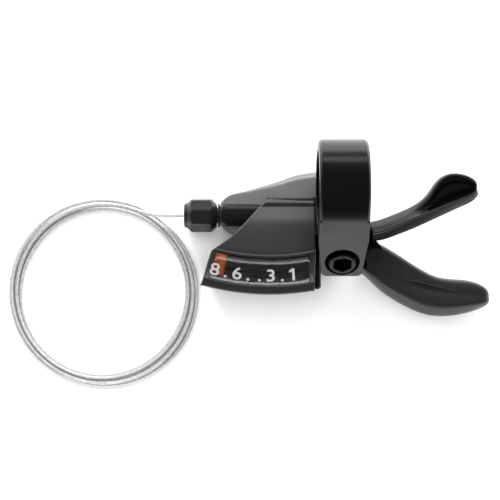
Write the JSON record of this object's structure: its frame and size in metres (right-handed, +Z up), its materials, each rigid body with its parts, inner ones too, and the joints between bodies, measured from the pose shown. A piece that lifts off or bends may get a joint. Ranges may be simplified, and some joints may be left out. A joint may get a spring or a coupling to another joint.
{
  "type": "thumb shifter",
  "caption": "Right-hand trigger shifter with a handlebar clamp, two thumb levers, a gear display window, a barrel adjuster and a coiled inner cable.",
  "frame": {"origin": "foot of the main axle on the flat underside of the lower cover", "axes": "+X along the handlebar towards the grip, +Y away from the rider, +Z up along the main axle, away from the surface it lies on"},
  "size_m": [0.1455, 0.0735, 0.0451],
  "materials": {
    "case_plastic": "satin dark grey moulding",
    "black_plastic": "matte black moulding",
    "hood_plastic": "satin black moulding",
    "lever_plastic": "satin black moulding with a fine grain",
    "knob_plastic": "satin black moulding",
    "clear_lens": "clear polished",
    "orange_plastic": "orange moulding",
    "anodised_band": "black anodised, satin",
    "black_bolt": "black oxide",
    "zinc_steel": "zinc plated",
    "lever_plate_steel": "black coated pressed steel",
    "cable_steel": "stranded stainless steel"
  },
  "bodies": {
    "housing": {"upper_case": "case_plastic", "lower_cover": "black_plastic", "cover_screw_1": "zinc_steel", "cover_screw_2": "zinc_steel", "cover_screw_3": "zinc_steel", "display_cover": "hood_plastic", "display_lens": "clear_lens", "dial_plate": "black_plastic", "pointer_rail": "black_plastic", "clamp_band": "anodised_band", "clamp_bolt": "black_bolt", "clamp_insert": "zinc_steel", "clamp_screw_1": "zinc_steel", "clamp_screw_2": "zinc_steel", "main_axle": "zinc_steel", "axle_clip": "zinc_steel", "base_plate": "zinc_steel", "spool_spring": "zinc_steel", "hold_pawl_pin": "zinc_steel", "adjuster_bush": "black_plastic", "cable_inner_run": "cable_steel", "cable_lead": "cable_steel", "cable_coil": "cable_steel"},
    "main_lever": {"main_lever_plate": "lever_plate_steel", "main_lever_pad": "lever_plastic", "main_lever_screw": "zinc_steel", "drive_pawl_pin": "zinc_steel"},
    "drive_pawl": {"drive_pawl": "zinc_steel"},
    "release_lever": {"release_lever_plate": "lever_plate_steel", "release_lever_pad": "lever_plastic", "release_lever_rivet": "zinc_steel"},
    "hold_pawl": {"hold_pawl": "zinc_steel"},
    "spool": {"cable_spool": "case_plastic", "ratchet_wheel": "zinc_steel", "cable_nipple": "zinc_steel"},
    "indicator": {"pointer": "orange_plastic", "pointer_carriage": "black_plastic"},
    "adjuster_slider": {"adjuster_collar": "black_plastic"},
    "adjuster": {"adjuster_knob": "knob_plastic", "adjuster_stem": "knob_plastic"}
  },
  "joints": [
    {"name": "main_lever_swing", "type": "hinge", "parent": "housing", "child": "main_lever", "pos_m": [0, 0, 0.0095], "axis": [0, 0, 1], "range_deg": [0, 45], "stiffness_Nm_per_rad": 0.05, "springref_deg": -11.46},
    {"name": "drive_pawl_tilt", "type": "hinge", "parent": "main_lever", "child": "drive_pawl", "pos_m": [-0.00647, -0.00453, 0.008], "axis": [0, 0, 1], "range_deg": [-12, 0], "stiffness_Nm_per_rad": 0.002, "springref_deg": 11.46},
    {"name": "release_lever_swing", "type": "hinge", "parent": "housing", "child": "release_lever", "pos_m": [0, 0, 0.0111], "axis": [0, 0, 1], "range_deg": [-15, 0], "stiffness_Nm_per_rad": 0.05, "springref_deg": 11.46},
    {"name": "hold_pawl_lift", "type": "hinge", "parent": "housing", "child": "hold_pawl", "pos_m": [-0.00628, 0.00527, 0.008], "axis": [0, 0, 1], "range_deg": [0, 10.5]},
    {"name": "spool_turn", "type": "hinge", "parent": "housing", "child": "spool", "pos_m": [0, 0, 0.0057], "axis": [0, 0, 1], "range_deg": [0, 150]},
    {"name": "indicator_travel", "type": "hinge", "parent": "housing", "child": "indicator", "pos_m": [-0.0183, 0.048, 0.018], "axis": [0, 0, 1], "range_deg": [0, 19.5]},
    {"name": "adjuster_travel", "type": "slide", "parent": "housing", "child": "adjuster_slider", "axis": [-1, 0, 0], "range_m": [0, 0.0033]},
    {"name": "adjuster_turn", "type": "hinge", "parent": "adjuster_slider", "child": "adjuster", "pos_m": [-0.0392, -0.0034, 0.0057], "axis": [-1, 0, 0], "range_deg": [0, 1440]}
  ],
  "couplings": [
    {"joint": "hold_pawl_lift", "follows": "release_lever_swing", "ratio": -0.6667},
    {"joint": "indicator_travel", "follows": "spool_turn", "ratio": 0.128},
    {"joint": "adjuster_travel", "follows": "adjuster_turn", "m_per_rad": 0.00012732}
  ]
}
